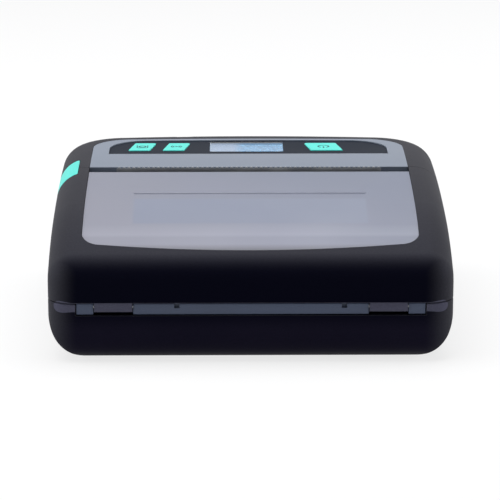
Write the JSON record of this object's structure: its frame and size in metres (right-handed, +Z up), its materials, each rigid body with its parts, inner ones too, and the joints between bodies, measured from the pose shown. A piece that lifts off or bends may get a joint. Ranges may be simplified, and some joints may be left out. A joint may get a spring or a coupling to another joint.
{
  "type": "portable receipt printer",
  "caption": "Portable receipt printer with a rear-hinged paper cover and frosted window, sprung keys, a shoulder latch, platen drive, sliding roll guides and a battery door.",
  "frame": {"origin": "bottom centre of the printer, on the surface it stands on", "axes": "+X across the printer, +Y from the hinge side to the key side, +Z up"},
  "size_m": [0.156, 0.1525, 0.0582],
  "materials": {
    "battery_wrap": "shrink wrap",
    "black_abs": "fine moulded texture",
    "ceramic_strip": "glazed",
    "chip_black": "matt",
    "circuit_board": "solder mask",
    "clear_pc": "clear",
    "foot_rubber": "matt",
    "frosted_pc": "frosted, slightly glossy",
    "grey_abs": "satin moulded",
    "lcd_glass": "blue backlit display",
    "plate_dark": "satin printed film",
    "platen_rubber": "ground",
    "sink_aluminium": "satin",
    "steel": "plain",
    "strip_grey": "satin moulded",
    "switch_body": "moulded",
    "teal_abs": "satin moulded",
    "white_pom": "moulded",
    "zinc_screw": "plated"
  },
  "bodies": {
    "root": {"base_shell": "black_abs", "front_casing": "black_abs", "control_panel": "grey_abs", "keypad_plate": "plate_dark", "display_window": "clear_pc", "display_module": "lcd_glass", "keypad_board": "circuit_board", "key_switches": "switch_body", "inner_chassis": "strip_grey", "hinge_pins": "steel", "rubber_feet": "foot_rubber", "battery_pack": "battery_wrap", "battery_door": "black_abs", "door_screws": "zinc_screw", "case_screws": "zinc_screw", "chassis_screws": "zinc_screw", "board_screws": "zinc_screw", "main_board": "circuit_board", "data_port": "steel", "buzzer": "chip_black", "board_chips": "chip_black", "paper_sensor": "chip_black", "print_head": "ceramic_strip", "head_sink": "sink_aluminium", "head_springs": "steel", "head_bracket": "steel", "tear_bar": "steel", "stepper_motor": "steel", "gear_axle": "steel"},
    "cover": {"cover_shell": "black_abs", "cover_window": "frosted_pc", "cover_frame": "grey_abs", "platen_bushings": "white_pom", "latch_spring": "steel"},
    "platen": {"platen_roller": "platen_rubber", "platen_shaft": "steel", "platen_gear": "white_pom"},
    "idler": {"idler_gear": "white_pom"},
    "pinion": {"motor_pinion": "steel", "motor_shaft": "steel"},
    "latch": {"latch_key": "teal_abs"},
    "hook": {"latch_hook_bar": "steel"},
    "left_guide": {"roll_guide_left": "grey_abs"},
    "right_guide": {"roll_guide_right": "grey_abs"},
    "feed": {"feed_key": "teal_abs"},
    "pair": {"pair_key": "teal_abs"},
    "power": {"power_key": "teal_abs"}
  },
  "joints": [
    {"name": "cover_hinge", "type": "hinge", "parent": "root", "child": "cover", "pos_m": [0, -0.07415, 0.0221], "axis": [1, 0, 0], "range_deg": [0, 85]},
    {"name": "platen_spin", "type": "hinge", "parent": "cover", "child": "platen", "pos_m": [0, 0.00325, 0.0476], "axis": [1, 0, 0], "continuous": true},
    {"name": "idler_spin", "type": "hinge", "parent": "root", "child": "idler", "pos_m": [0, 0.01135, 0.03357], "axis": [1, 0, 0], "continuous": true},
    {"name": "pinion_spin", "type": "hinge", "parent": "root", "child": "pinion", "pos_m": [0, 0.02382, 0.02637], "axis": [1, 0, 0], "continuous": true},
    {"name": "latch_slide", "type": "slide", "parent": "cover", "child": "latch", "axis": [0, 0, -1], "range_m": [0, 0.002], "stiffness_N_per_m": 500, "springref_m": -0.001, "deforming": ["latch_spring"]},
    {"name": "hook_swing", "type": "hinge", "parent": "root", "child": "hook", "pos_m": [0, 0.01395, 0.036], "axis": [1, 0, 0], "range_deg": [-21, 0]},
    {"name": "right_guide_slide", "type": "slide", "parent": "root", "child": "right_guide", "axis": [-1, 0, 0], "range_m": [0, 0.025]},
    {"name": "left_guide_slide", "type": "slide", "parent": "root", "child": "left_guide", "axis": [1, 0, 0], "range_m": [0, 0.025]},
    {"name": "feed_key_press", "type": "slide", "parent": "root", "child": "feed", "axis": [0, 0, -1], "range_m": [0, 0.0005], "stiffness_N_per_m": 400, "springref_m": -0.0003},
    {"name": "pair_key_press", "type": "slide", "parent": "root", "child": "pair", "axis": [0, 0, -1], "range_m": [0, 0.0005], "stiffness_N_per_m": 400, "springref_m": -0.0003},
    {"name": "power_key_press", "type": "slide", "parent": "root", "child": "power", "axis": [0, 0, -1], "range_m": [0, 0.0005], "stiffness_N_per_m": 400, "springref_m": -0.0003}
  ],
  "couplings": [
    {"joint": "idler_spin", "follows": "platen_spin", "ratio": -0.5},
    {"joint": "pinion_spin", "follows": "platen_spin", "ratio": 1.5},
    {"joint": "hook_swing", "follows": "latch_slide", "rad_per_m": -174.53},
    {"joint": "left_guide_slide", "follows": "right_guide_slide", "ratio": 1}
  ]
}
